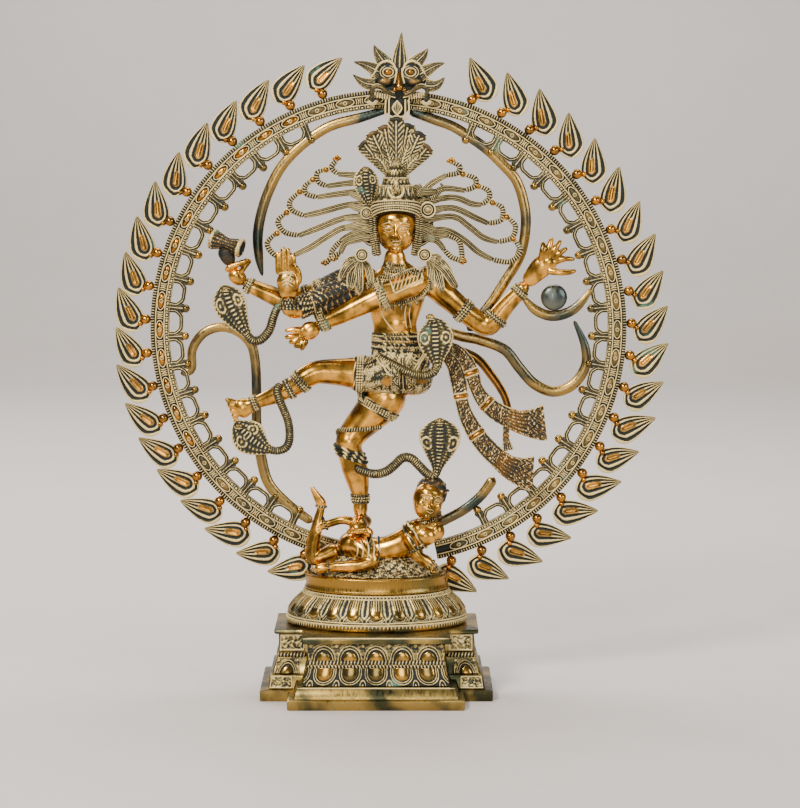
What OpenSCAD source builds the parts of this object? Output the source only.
// Brass figure of a four-armed dancer inside a ring of flames, on a lotus and a stepped plinth.
// Millimetres, +Z up, front towards -Y, +X to the viewer's right.
// The origin is the middle of the plinth's foot, on the surface it stands on.

/* [Plinth] */
// Half width of the side blocks at the foot
side_half_w = 106.4; // [100:0.2:112]
// Half depth of the side blocks at the foot
side_half_d = 53; // [48:1:58]
// Half width of the centre block at the foot
centre_half_w = 80; // [74:1:86]
// Half depth of the centre block at the foot
centre_half_d = 90; // [84:1:92]
// Height of the plinth's top ledge
plinth_h = 64; // [60:0.5:68]
// Wall left around the hollow castings
casting_wall = 6; // [4:0.5:9]

/* [Lotus and drum] */
// Half width of the lotus at its widest
lotus_half_w = 83; // [76:1:88]
// Half width of the drum above the lotus
drum_half_w = 67; // [60:1:72]
// Depth of the ovals as a share of their width
oval_ratio = 0.67; // [0.6:0.01:0.75]
// Height of the drum's flat top
drum_top = 111; // [105:1:116]

/* [Ring of flames] */
// Centre of the ring, left to right
ring_x = 11; // [0:1:20]
// Centre of the ring above the foot
ring_z = 335; // [325:1:345]
// Radius of the circle through the large beads
bead_circle_r = 224; // [218:1:230]
// Front face of the ring's band
ring_y = 10; // [4:1:14]
// Thickness of the ring's band, front to back
ring_t = 8; // [5:0.5:10]
// Width of the band, inside to outside
band_w = 17; // [14:0.5:20]
// Flames on the left side
flames_left_n = 19; // [12:1:22]
// Flames on the right side
flames_right_n = 20; // [12:1:22]
// Length of a flame from the middle of its bulb to its tip
flame_l = 34; // [28:1:38]

/* [Supports] */
// Width of the flat supports behind the figure
strut_w = 9.5; // [7:0.5:12]
// Thickness of the flat supports
strut_t = 5; // [3:0.5:7]

/* [Hair] */
// Width of one lock of the spread hair
lock_w = 3.4; // [2.4:0.2:4.4]
// Thickness of the spread hair, front to back
lock_t = 4; // [3:0.5:6]

/* [Hidden] */

brass = "darkgoldenrod";
skin = "peru";
gilt = "khaki";
steel_grey = "slategray";

// Plinth courses: [bottom, top, inset at the bottom, inset at the top] from the foot's outline
recess_inset = 18;
centre_courses = [[0, 9, 0, 0], [9, 19, 5, 8], [19, 36, 13, 17], [36, 42, 17, 17],
    [42, 58, recess_inset, recess_inset], [58, plinth_h, 13, 13]];
side_courses = [[0, 10, 0, 0], [10, 23, 7, 9], [23, 38, 11, 15], [38, 43, 15, 15],
    [43, 60, recess_inset - 1, recess_inset - 1], [60, plinth_h, 13, 13]];
ledge_drop = 7;                       // thickness of the plinth's roof
step = 0.01;                          // a slab thin enough to only mark an outline

// Fixings that draw the drum and lotus down onto the plinth
stud_x = 34;
stud_r = 4;
stud_gap = 0.3;
stud_foot_z = 45;
nut_h = 6.5;
nut_r = 7.5;
washer_r = 9;
washer_t = 1.6;

// Ring radii
band_outer_r = bead_circle_r - 4.7;
band_inner_r = band_outer_r - band_w;
arcade_r = band_inner_r - 11;
inner_bead_r = arcade_r - 4;
band_end = 168;                       // the band's ends, in degrees either side of the top
ring_mid_y = ring_y + ring_t / 2;

function unit(v) = v / norm(v);
function last(v) = len(v) - 1;
function turned(r, angle) = [ring_x + r * sin(angle), ring_z + r * cos(angle)];
function oval(a, b, n = 48) = [for (i = [0 : n - 1]) [a * cos(360 * i / n), b * sin(360 * i / n)]];

// A smooth curve through hand-placed points, with n steps between each pair
function blend(a, b, c, d, t) =
    0.5 * (2 * b + (c - a) * t + (2 * a - 5 * b + 4 * c - d) * t * t + (3 * b - a - 3 * c + d) * t * t * t);
function smooth(p, n = 2) = [
    for (i = [0 : last(p) - 1], k = [0 : n - 1])
        blend(p[max(i - 1, 0)], p[i], p[i + 1], p[min(i + 2, last(p))], k / n),
    p[last(p)]];
function heading(p, i) = unit(p[min(i + 1, last(p))] - p[max(i - 1, 0)]);

// A closed round bar through points [x, y, z, radius]; flat squeezes it front to back
module bar(stations, flat = 1, sides = 10, n = 2) {
    s = smooth(stations, n);
    p = [for (q = s) [q[0], q[1], q[2]]];
    across = [for (i = [0 : last(p)]) unit(cross(heading(p, i), [0.02, 1, 0.03]))];
    points = [for (i = [0 : last(p)], k = [0 : sides - 1])
        p[i] + s[i][3] * (cos(360 * k / sides) * across[i]
            + flat * sin(360 * k / sides) * cross(across[i], heading(p, i)))];
    walls = [for (i = [0 : last(p) - 1], k = [0 : sides - 1])
        let (a = i * sides + k, b = i * sides + (k + 1) % sides)
            each [[a, b, b + sides], [a, b + sides, a + sides]]];
    foot = [[for (k = [sides - 1 : -1 : 0]) k]];
    end = [[for (k = [0 : sides - 1]) last(p) * sides + k]];
    polyhedron(points, concat(walls, foot, end));
}

// Turns an outline drawn in X and Z into a plate with its front face at y
module plate(y, t) {
    translate([0, y + t, 0]) rotate([90, 0, 0]) linear_extrude(t) children();
}

// The outline of a flat strap along points [x, z, half width]
module strap(path, n = 4) {
    s = smooth(path, n);
    p = [for (q = s) [q[0], q[1]]];
    side = [for (i = [0 : last(p)]) let (h = heading(p, i)) [-h[1], h[0]] * s[i][2]];
    polygon(concat(
        [for (i = [0 : last(p)]) p[i] + side[i]],
        [for (i = [last(p) : -1 : 0]) p[i] - side[i]]));
}

function with_width(path, w) = [for (q = path) [q[0], q[1], w]];

// ---- plinth, lotus and drum ----

module course(c, half_w, half_d) {
    hull() {
        translate([0, 0, c[0]]) linear_extrude(step)
            square([2 * (half_w - c[2]), 2 * (half_d - c[2])], center = true);
        translate([0, 0, c[1] - step]) linear_extrude(step)
            square([2 * (half_w - c[3]), 2 * (half_d - c[3])], center = true);
    }
}

module straight_course(c, half_w, half_d) {
    translate([0, 0, c[0]]) linear_extrude(c[1] - c[0])
        square([2 * (half_w - c[2]), 2 * (half_d - c[2])], center = true);
}

module block(courses, half_w, half_d) {
    for (c = courses)
        if (c[2] == c[3]) straight_course(c, half_w, half_d);
        else course(c, half_w, half_d);
}

module stud_bores(from, to) {
    for (x = [-stud_x, stud_x])
        translate([x, 0, from]) cylinder(r = stud_r + stud_gap, h = to - from, $fn = 32);
}

module cavity(from, to, inset) {
    translate([0, 0, from]) linear_extrude(to - from) {
        square([2 * (centre_half_w - inset), 2 * (centre_half_d - inset)], center = true);
        square([2 * (side_half_w - inset), 2 * (side_half_d - inset)], center = true);
    }
}

module plinth() {
    color(gilt) difference() {
        union() {
            block(centre_courses, centre_half_w, centre_half_d);
            block(side_courses, side_half_w, side_half_d);
        }
        cavity(-1, plinth_h - ledge_drop, recess_inset + casting_wall);
        stud_bores(plinth_h - ledge_drop - 1, plinth_h + 1);
    }
}

module oval_slab(from, to, half_w) {
    translate([0, 0, from]) linear_extrude(to - from) polygon(oval(half_w, half_w * oval_ratio));
}

module lotus() {
    color(gilt) difference() {
        union() {
            oval_slab(plinth_h, plinth_h + 5, lotus_half_w);
            oval_slab(plinth_h + 5, plinth_h + 16, lotus_half_w - 1);
            oval_slab(plinth_h + 16, plinth_h + 24, lotus_half_w - 6);
            oval_slab(plinth_h + 24, plinth_h + 29, lotus_half_w - 11);
            oval_slab(plinth_h + 29, plinth_h + 32, drum_half_w - 4);
        }
        oval_slab(plinth_h - 1, plinth_h + 25, lotus_half_w - 11 - casting_wall);
        stud_bores(plinth_h - 1, plinth_h + 33);
    }
}

module drum() {
    color("olive") difference() {
        union() {
            oval_slab(plinth_h + 32, plinth_h + 34, drum_half_w);
            oval_slab(plinth_h + 34, drum_top - 3, drum_half_w - 1);
            oval_slab(drum_top - 3, drum_top, drum_half_w);
        }
        stud_bores(plinth_h + 31, drum_top + 1);
    }
}

// Radial section of the band as a ring around the Y axis
module band_ring(inner, outer, front, thick, end) {
    translate([ring_x, front + thick, ring_z]) rotate([90, end - 90, 0])
        rotate_extrude(angle = 2 * end, $fn = 180)
            translate([inner, 0]) square([outer - inner, thick]);
}

module ground() {
    color(gilt) difference() {
        union() {
            oval_slab(drum_top, drum_top + 3, drum_half_w - 3);
            translate([0, 2, drum_top + 3]) linear_extrude(6) polygon(oval(56, 34));
            translate([8, ring_mid_y + 2, drum_top + 9]) linear_extrude(9) polygon(oval(44, 15));
        }
        band_ring(band_inner_r - 0.5, band_outer_r + 0.5, ring_y - 0.3, ring_t + 0.6, 175);
        stud_bores(drum_top - 1, drum_top + 4);
    }
}

module studs() {
    color(steel_grey) for (x = [-stud_x, stud_x])
        translate([x, 0, stud_foot_z]) cylinder(r = stud_r, h = drum_top + 3 - stud_foot_z, $fn = 32);
}

module nuts() {
    roof = plinth_h - ledge_drop;
    color(steel_grey) for (x = [-stud_x, stud_x]) translate([x, 0, 0]) {
        difference() {
            union() {
                translate([0, 0, roof - washer_t]) cylinder(r = washer_r, h = washer_t, $fn = 32);
                translate([0, 0, roof - washer_t - nut_h]) cylinder(r = nut_r, h = nut_h, $fn = 6);
            }
            translate([0, 0, stud_foot_z]) cylinder(r = stud_r + 0.05, h = 20, $fn = 32);
        }
    }
}

// ---- the dwarf ----

module dwarf_body() {
    color(skin) bar([[48, -12, 156, 7], [40, -12, 149, 12], [26, -11, 139, 13], [8, -10, 131, 12],
        [-8, -8, 130, 13], [-24, -7, 134, 15], [-36, -5, 135, 9]], flat = 0.9);
}

module dwarf_head() {
    color(skin) bar([[52, -13, 160, 7], [50, -15, 168, 12], [47, -16, 180, 14.5], [44, -16, 190, 13],
        [42, -15, 197, 8]], flat = 0.95);
}

module dwarf_hair() {
    color(brass) bar([[64, -4, 160, 6], [62, -6, 170, 10], [57, -7, 184, 13], [49, -8, 196, 13],
        [42, -9, 203, 7]], flat = 0.9);
}

module dwarf_arm_near() {
    color(skin) bar([[16, -20, 148, 6], [26, -24, 138, 6], [36, -28, 127, 5], [48, -28, 124, 5],
        [52, -27, 118, 5]], sides = 8);
}

module dwarf_arm_far() {
    color(skin) bar([[-4, -14, 146, 5], [-18, -17, 158, 4.6], [-30, -18, 162, 4.2], [-42, -16, 159, 4],
        [-52, -14, 155, 4.5]], sides = 8);
}

module dwarf_leg_folded() {
    color(skin) bar([[-22, -14, 141, 10], [-8, -23, 133, 8], [-5, -27, 125, 6.5], [-24, -28, 121, 6],
        [-40, -28, 120, 5.5], [-56, -28, 118, 6]], sides = 8);
}

module dwarf_leg_raised() {
    color(skin) bar([[-34, -6, 134, 8], [-48, -10, 126, 7], [-60, -12, 128, 6.5], [-57, -12, 147, 6.5],
        [-53, -12, 164, 4.5], [-51, -12, 174, 4], [-54, -13, 184, 4], [-60, -15, 193, 2]], sides = 8);
}

// ---- the dancer's body ----

module torso() {
    color(skin) bar([[22, -6, 277, 20], [24, -6, 290, 28], [22, -5, 306, 28], [18, -5, 324, 24],
        [17, -4, 339, 21], [17, -4, 355, 25], [18, -3, 369, 28], [18, -2, 381, 30],
        [18, -3, 391, 21], [18, -5, 398, 11]], flat = 0.58, sides = 16);
}

module head() {
    color(skin) bar([[17, -5, 392, 10], [17, -7, 402, 10.5], [18, -10, 409, 14], [18, -10, 419, 18],
        [18, -9, 431, 19.5], [18, -8, 443, 18.5], [18, -7, 451, 14]], flat = 0.92, sides = 16);
}

module crown() {
    color(gilt) bar([[18, -7, 447, 22], [18, -7, 452, 22], [18, -6, 458, 18], [18, -5, 466, 14],
        [18, -4, 477, 10], [18, -2, 488, 7]], sides = 16);
}

plume_tips = [[-17, 506], [-10, 516], [5, 522], [18, 530], [35, 523], [46, 515], [52, 502]];
module plume() {
    root = [18, 482];
    color(gilt) plate(0, 4) for (tip = plume_tips)
        strap([[root[0], root[1], 2], [(root[0] + tip[0]) / 2, (root[1] + tip[1]) / 2 + 3, 6],
            [tip[0], tip[1], 1.5]]);
}

// One lock of hair is a stroke of even width that a loop of small beads closes
module locks(paths, beads, root) {
    plate(lock_t, lock_t) {
        strap(root, n = 1);
        for (path = paths) strap(with_width(path, lock_w / 2));
        for (b = beads) translate(b) circle(r = lock_w * 0.8, $fn = 24);
    }
}

left_locks = [
    [[-4, 476], [-20, 477], [-35, 478], [-41, 484], [-36, 491]],
    [[-4, 469], [-21, 470], [-45, 467], [-53, 471], [-54, 479], [-47, 482]],
    [[-4, 462], [-25, 461], [-54, 457], [-64, 460], [-65, 467], [-58, 473]],
    [[-4, 450], [-25, 450], [-52, 443], [-66, 440], [-77, 445], [-79, 453], [-70, 462]],
    [[-4, 439], [-29, 438], [-55, 428], [-71, 422], [-84, 425], [-90, 435], [-82, 443]],
    [[-4, 429], [-29, 429], [-45, 421], [-59, 412], [-75, 404], [-91, 403], [-100, 414], [-92, 424]],
    [[-4, 424], [-22, 423], [-33, 417], [-41, 407], [-39, 400]],
    [[-4, 420], [-26, 416], [-33, 406], [-43, 400], [-47, 396]]];
left_root = [[-3, 414, 4], [-3, 479, 4]];
left_beads = [[-91, 424], [-82, 443], [-70, 462], [-58, 473], [-46, 482]];

right_locks = [
    [[30, 450], [40, 459], [50, 469], [64, 477], [74, 479], [76, 485], [68, 489]],
    [[34, 456], [54, 462], [64, 465], [81, 463], [90, 467], [90, 474], [79, 478]],
    [[34, 450], [61, 456], [74, 456], [87, 451], [96, 450], [103, 456], [102, 463], [93, 467]],
    [[34, 443], [62, 447], [74, 446], [89, 439], [102, 433], [114, 436], [115, 447], [106, 452]],
    [[34, 433], [62, 439], [74, 438], [85, 430], [98, 420], [111, 416], [124, 420], [127, 431], [119, 439]],
    [[34, 425], [54, 427], [66, 426], [80, 418], [93, 407], [106, 400], [122, 398], [132, 408], [125, 419]],
    [[34, 421], [52, 421], [65, 422], [76, 416], [79, 397]],
    [[34, 418], [53, 418], [62, 409], [69, 402], [78, 399]]];
right_root = [[35, 414, 5], [35, 460, 5]];
right_beads = [[79, 478], [93, 467], [106, 452], [119, 439], [125, 419]];

module hair_left() { color(gilt) locks(left_locks, left_beads, left_root); }

module hair_right() { color(gilt) locks(right_locks, right_beads, right_root); }

module disc(x, y, z, r, t) {
    translate([x, y + t, z]) rotate([90, 0, 0]) cylinder(r = r, h = t, $fn = 32);
}

module earrings() {
    color(gilt) {
        disc(-12, -12, 409, 6, 6);
        disc(41, -12, 408, 6, 6);
        translate([47, 0, 446]) rotate([90, 0, 0]) rotate_extrude($fn = 32)
            translate([5.2, 0]) circle(r = 1.3, $fn = 16);
    }
}

// ---- arms and hands ----

module arm_drum() {
    color(skin) bar([[-6, 0, 384, 14], [-31, 0, 380, 12], [-53, 0, 371, 10], [-70, 0, 365, 9.5],
        [-83, -2, 362, 9.5], [-96, -3, 368, 8.5], [-110, -4, 374, 7.5], [-122, -5, 379, 6]]);
}

module arm_blessing() {
    color(skin) bar([[-8, -8, 380, 12], [-38, -15, 371, 10.5], [-60, -22, 362, 9.5], [-74, -28, 357, 9],
        [-79, -33, 360, 8], [-79, -34, 369, 7]]);
}

module arm_crossing() {
    color(skin) bar([[46, -8, 384, 13], [26, -20, 376, 12], [8, -26, 371, 10.5], [-10, -27, 363, 10],
        [-28, -27, 354, 9], [-45, -26, 346, 7.5], [-55, -26, 341, 6.5]]);
}

module arm_fire() {
    color(skin) bar([[44, 0, 384, 14], [65, 1, 366, 12], [84, 2, 350, 10.5], [100, 3, 340, 10.5],
        [108, 1, 344, 10], [118, -1, 357, 8.5], [129, -3, 369, 7.5], [138, -5, 379, 6]]);
}

module fingers(root, tips, r) {
    for (tip = tips)
        bar([[root[0], root[1], root[2], r], [tip[0], tip[1], tip[2], r * 0.7]], sides = 8, n = 1);
}

module hand_drum() {
    color(skin) bar([[-122, -5, 379, 6.5], [-130, -6, 386, 8], [-134, -6, 393, 7]], sides = 8);
}

module hand_drum_toy() {
    color(brass) {
        bar([[-150, -3, 419, 9], [-145, -4, 418, 9.5], [-138, -6, 415, 7], [-130, -8, 413, 7],
            [-124, -10, 411, 8.5]]);
        bar([[-132, -6, 394, 5], [-137, -6, 404, 8], [-140, -6, 410, 6]], sides = 8);
    }
}

module hand_blessing() {
    color(skin) {
        bar([[-79, -34, 369, 7], [-79, -35, 378, 10.5], [-80, -36, 389, 11], [-82, -36, 397, 9.5]],
            flat = 0.5);
        for (k = [-1.5 : 1 : 1.5])
            bar([[-82 + 5 * k, -36, 394, 2.6], [-83 + 4.5 * k, -37, 405, 2.4],
                [-83 + 4 * k, -37, 414 - 2 * abs(k), 1.4]], sides = 8);
        bar([[-88, -36, 384, 3], [-92, -37, 392, 2.6], [-91, -37, 400, 1.8]], sides = 8);
    }
}

module hand_crossing() {
    color(skin) {
        bar([[-55, -26, 341, 6.5], [-62, -26, 336, 9], [-70, -26, 332, 8.5]], flat = 0.5, sides = 8);
        fingers([-66, -26, 335], [[-83, -26, 338], [-82, -26, 331], [-78, -26, 326], [-73, -26, 322],
            [-67, -26, 321]], 3);
    }
}

module hand_fire() {
    color(skin) {
        bar([[138, -5, 379, 6.5], [147, -6, 390, 10], [157, -7, 400, 10.5]], flat = 0.5, sides = 8);
        fingers([155, -7, 398], [[152, -8, 416], [160, -8, 420], [167, -8, 417], [173, -8, 409],
            [179, -8, 400], [180, -8, 391]], 4);
    }
}

module fire_disc() { color(steel_grey) disc(163, 3, 365, 12.2, 8); }

// ---- legs ----

module leg_standing() {
    color(skin) bar([[16, -5, 287, 22], [-2, -6, 263, 18], [-18, -8, 245, 14], [-25, -10, 234, 13],
        [-22, -8, 216, 12], [-18, -5, 197, 11], [-15, -4, 179, 7.5], [-15, -5, 168, 8],
        [-16, -12, 161, 8], [-18, -24, 157, 7], [-19, -32, 155, 4]]);
}

module leg_raised() {
    color(skin) bar([[20, -10, 292, 19], [-6, -16, 296, 16], [-33, -22, 299, 13], [-56, -27, 299, 11],
        [-67, -28, 293, 10], [-75, -27, 286, 8.5], [-90, -26, 279, 7.5], [-106, -25, 273, 6],
        [-116, -24, 269, 5.5], [-123, -24, 265, 7], [-130, -24, 260, 7]]);
}

// ---- dress ----

module skirt() {
    color(gilt) bar([[18, -5, 322, 25], [22, -6, 310, 30], [24, -6, 292, 30.5], [20, -6, 276, 26]],
        flat = 0.66, sides = 16);
}

module belt() {
    color(gilt) bar([[17, -5, 322, 26], [18, -5, 330, 25]], flat = 0.68, sides = 16, n = 1);
}

module necklace() {
    color(gilt) bar([[18, -5, 384, 26], [18, -6, 391, 22], [18, -6, 399, 13]], flat = 0.72, sides = 16);
}

module drape_left() {
    color(gilt) bar([[-14, -8, 400, 3], [-20, -12, 395, 9], [-21, -14, 386, 8], [-24, -14, 373, 3]],
        flat = 0.7, sides = 8);
}

module drape_right() {
    color(gilt) bar([[40, -8, 404, 3], [50, -10, 400, 9], [60, -9, 391, 8], [70, -8, 378, 3]],
        flat = 0.7, sides = 8);
}

// A short collar around a limb, from one point to the next
module collar(a, b, r) {
    bar([[a[0], a[1], a[2], r], [b[0], b[1], b[2], r]], n = 1);
}

module armlets() {
    color(gilt) {
        collar([-45, 0, 375], [-51, 0, 372], 11.5);
        collar([-114, -5, 376], [-121, -5, 379], 8.5);
        collar([-79, -33, 360], [-79, -34, 367], 9.5);
        collar([8, -26, 371], [1, -26, 368], 12);
        collar([-46, -26, 346], [-53, -26, 342], 9);
        collar([76, 2, 357], [84, 2, 350], 12);
        collar([101, 3, 341], [105, 2, 342], 11.5);
        collar([127, -3, 367], [134, -4, 374], 9);
    }
}

module anklets() {
    color(gilt) {
        collar([0, -6, 265], [-4, -6, 260], 18.5);
        collar([-15, -4, 184], [-15, -4, 176], 9.5);
        collar([-12, -17, 297], [-17, -18, 298], 16.5);
        collar([-77, -27, 285], [-82, -27, 283], 9.5);
        collar([-108, -25, 272], [-114, -24, 270], 7.5);
    }
}

// ---- cobras ----

module cobra_arm() {
    color(gilt) {
        bar([[-118, -10, 331, 4], [-125, -10, 342, 9], [-132, -11, 356, 14], [-135, -12, 367, 13],
            [-137, -13, 376, 5]], flat = 0.35, sides = 8);
        bar([[-118, -10, 332, 4], [-111, -10, 327, 4], [-102, -10, 332, 4], [-95, -10, 344, 4],
            [-92, -8, 357, 4]], sides = 8);
    }
}

module cobra_foot() {
    color(gilt) {
        bar([[-97, -26, 228, 4], [-105, -26, 232, 8], [-114, -26, 238, 14], [-120, -26, 245, 14],
            [-127, -26, 252, 5]], flat = 0.35, sides = 8);
        bar([[-98, -26, 228, 4], [-86, -27, 229, 4], [-80, -28, 240, 4], [-81, -30, 256, 4],
            [-86, -34, 270, 4], [-88, -34, 282, 4]], sides = 8);
    }
}

module cobra_waist() {
    color(gilt) {
        bar([[55, -27, 302, 4], [54, -28, 312, 10], [53, -29, 326, 16], [53, -29, 338, 15],
            [52, -29, 346, 6]], flat = 0.35, sides = 8);
        bar([[55, -27, 304, 4], [50, -26, 298, 4], [38, -26, 297, 4], [23, -25, 303, 4],
            [8, -22, 312, 4]], sides = 8);
    }
}

module cobra_dwarf() {
    color(gilt) {
        bar([[53, -15, 201, 5], [56, -16, 213, 9], [58, -17, 230, 18], [58, -17, 243, 18],
            [58, -17, 255, 6]], flat = 0.3, sides = 8);
        bar([[53, -15, 202, 4.5], [45, -14, 206, 4.5], [36, -14, 214, 4.5], [27, -14, 219, 4.5],
            [18, -15, 214, 4.5], [6, -17, 206, 4.5], [-8, -19, 206, 4.5], [-20, -18, 210, 4.5]], sides = 8);
    }
}

module cobra_crown() {
    color(gilt) bar([[-5, 1, 452, 4], [-8, 1, 462, 9], [-9, 1, 473, 11], [-9, 1, 482, 5]],
        flat = 0.4, sides = 8);
}

// ---- sashes ----

module sash_upper() {
    color(brass) plate(-6, 5) strap([[62, 322, 5], [75, 316, 6], [86, 301, 7], [92, 281, 6], [105, 264, 8],
        [124, 254, 9], [142, 250, 10], [153, 250, 15]]);
}

module sash_lower() {
    color(brass) plate(-8, 5) strap([[62, 316, 5], [70, 306, 6], [75, 287, 7], [78, 269, 6], [85, 252, 8],
        [99, 230, 8], [116, 214, 9], [130, 206, 10], [142, 204, 15]]);
}

module sash_tie() {
    color(brass) {
        plate(0, 4) strap([[66, 319, 4], [91, 310, 4], [106, 293, 4], [117, 276, 3.5], [122, 258, 3]]);
        plate(-5, 4) strap([[121, 250, 4], [119, 240, 3], [121, 226, 4]]);
    }
}

// ---- ring ----

module ring_band() { color(brass) band_ring(band_inner_r, band_outer_r, ring_y, ring_t, band_end); }

window_first = 26;
window_last = 150;
windows = 17;
module arcade() {
    pitch = (window_last - window_first) / (windows - 1);
    color(gilt) for (side = [-1, 1])
        for (k = [0 : windows - 1])
            plate(ring_mid_y - 2, 4) translate([ring_x, ring_z])
                rotate(-side * (window_first + pitch * k)) translate([0, band_inner_r - 5.2])
                    difference() {
                        square([18.4, 10.6], center = true);
                        square([14, 6.6], center = true);
                    }
}

function left_angle(k) = -15.6 - 8.0 * k;
function right_angle(k) = 19.9 + 7.63 * k;

// A flame's bulb sits outside its bead, and its tip sweeps along the ring towards the top
flame_bulb_out = 13;                  // from the circle of beads out to the bulb's middle
module flame(angle) {
    left = angle < 0;
    plate(ring_mid_y - 3, 6) translate([ring_x, ring_z]) rotate(-angle)
        translate([left ? -1.3 : 8.7, bead_circle_r + flame_bulb_out]) rotate(left ? -58 : 53)
            polygon([[0, -10], [-7, -8], [-11, -2], [-11.5, 5], [-9, 13], [-5, 22], [0, flame_l],
                [5, 22], [9, 13], [11.5, 5], [11, -2], [7, -8]]);
}

module flames_left() { color(gilt) for (k = [0 : flames_left_n - 1]) flame(left_angle(k)); }

module flames_right() { color(gilt) for (k = [0 : flames_right_n - 1]) flame(right_angle(k)); }

module bead_at(r, angle, size) {
    p = turned(r, angle);
    translate([p[0], ring_mid_y, p[1]]) sphere(r = size, $fn = 24);
}

module flame_beads() {
    color("goldenrod") {
        for (k = [0 : flames_left_n - 1]) bead_at(bead_circle_r, left_angle(k), 4.8);
        for (k = [0 : flames_right_n - 1]) bead_at(bead_circle_r, right_angle(k), 4.8);
        for (k = [0 : windows - 1], side = [-1, 1])
            bead_at(inner_bead_r, side * (window_first + 3.9 + 7.75 * k), 3.6);
    }
}

cabochons_n = 46;
module cabochons() {
    color("sienna") for (k = [0 : cabochons_n - 1]) {
        a = (k - (cabochons_n - 1) / 2) * 2 * (band_end - 6) / (cabochons_n - 1);
        translate([ring_x, ring_y, ring_z]) rotate([90, 0, 0]) rotate(-a)
            translate([0, (band_inner_r + band_outer_r) / 2, 0])
                linear_extrude(2) polygon(oval(7, 3.2, 16));
    }
}

mask_tips = [[23, 606], [-1, 594], [-20, 579], [-21, 566], [61, 564], [62, 578], [46, 591]];
mask_at = [21, 567];
module mask() {
    color(gilt) {
        plate(ring_y - 12, 12) {
            translate(mask_at) polygon(oval(29, 18));
            for (tip = mask_tips)
                strap([[mask_at[0], mask_at[1], 9], [tip[0], tip[1], 1]], n = 1);
        }
        plate(ring_y - 8, 8) translate([6, 527]) square([27, 26]);
    }
}

// ---- flat supports ----

module strut(path, y) {
    color(brass) plate(y, strut_t) strap(path);
}

module strut_upper_left() {
    strut([[12, 537, 3], [-15, 529, 4.5], [-43, 521, strut_w / 2], [-66, 506, strut_w / 2],
        [-85, 487, strut_w / 2], [-97, 466, strut_w / 2], [-105, 444, strut_w / 2], [-109, 422, strut_w / 2],
        [-108, 401, 4], [-105, 383, 1]], ring_y + 1);
}

module strut_upper_right() {
    strut(with_width([[30, 536], [51, 528], [70, 521], [86, 511], [100, 501], [115, 487], [128, 472],
        [135, 452], [137, 430], [132, 403], [118, 379], [103, 356], [84, 334]], strut_w / 2), ring_y + 1);
}

module strut_wave() {
    strut([[62, 333, 5], [80, 328, 5], [95, 325, 5], [118, 316, 5], [132, 299, 5], [146, 284, 5],
        [164, 277, 5], [182, 284, 5], [193, 301, 4.5], [192, 320, 4], [182, 343, 1.5]], ring_y + 2);
}

module strut_cradle() {
    strut([[134, 366, 2], [144, 355, 4.5], [155, 349, 5], [165, 348, 5], [176, 351, 5], [186, 358, 4.5],
        [198, 373, 2]], ring_y - 5);
}

module strut_lower_left() {
    strut([[-181, 294, 3.5], [-171, 298, 4], [-170, 316, 4.2], [-160, 331, 4.5], [-144, 337, 4.5],
        [-128, 333, 4.5], [-116, 321, 4.5], [-112, 304, 4.5], [-111, 277, 4.5], [-111, 246, 4.5],
        [-107, 215, 5], [-100, 191, 5], [-83, 172, 5], [-60, 155, 4]], ring_y + 1);
}

module strut_lower_right() {
    strut(with_width([[109, 197], [97, 180], [80, 166], [55, 153]], strut_w / 2), ring_y + 1);
}

plinth();
lotus();
drum();
ground();
studs();
nuts();
dwarf_body();
dwarf_head();
dwarf_hair();
dwarf_arm_near();
dwarf_arm_far();
dwarf_leg_folded();
dwarf_leg_raised();
torso();
head();
crown();
plume();
hair_left();
hair_right();
earrings();
arm_drum();
arm_blessing();
arm_crossing();
arm_fire();
hand_drum();
hand_blessing();
hand_crossing();
hand_fire();
hand_drum_toy();
fire_disc();
leg_standing();
leg_raised();
skirt();
belt();
necklace();
drape_left();
drape_right();
armlets();
anklets();
cobra_arm();
cobra_foot();
cobra_waist();
cobra_dwarf();
cobra_crown();
sash_upper();
sash_lower();
sash_tie();
ring_band();
arcade();
flames_left();
flames_right();
flame_beads();
cabochons();
mask();
strut_upper_left();
strut_upper_right();
strut_wave();
strut_cradle();
strut_lower_left();
strut_lower_right();
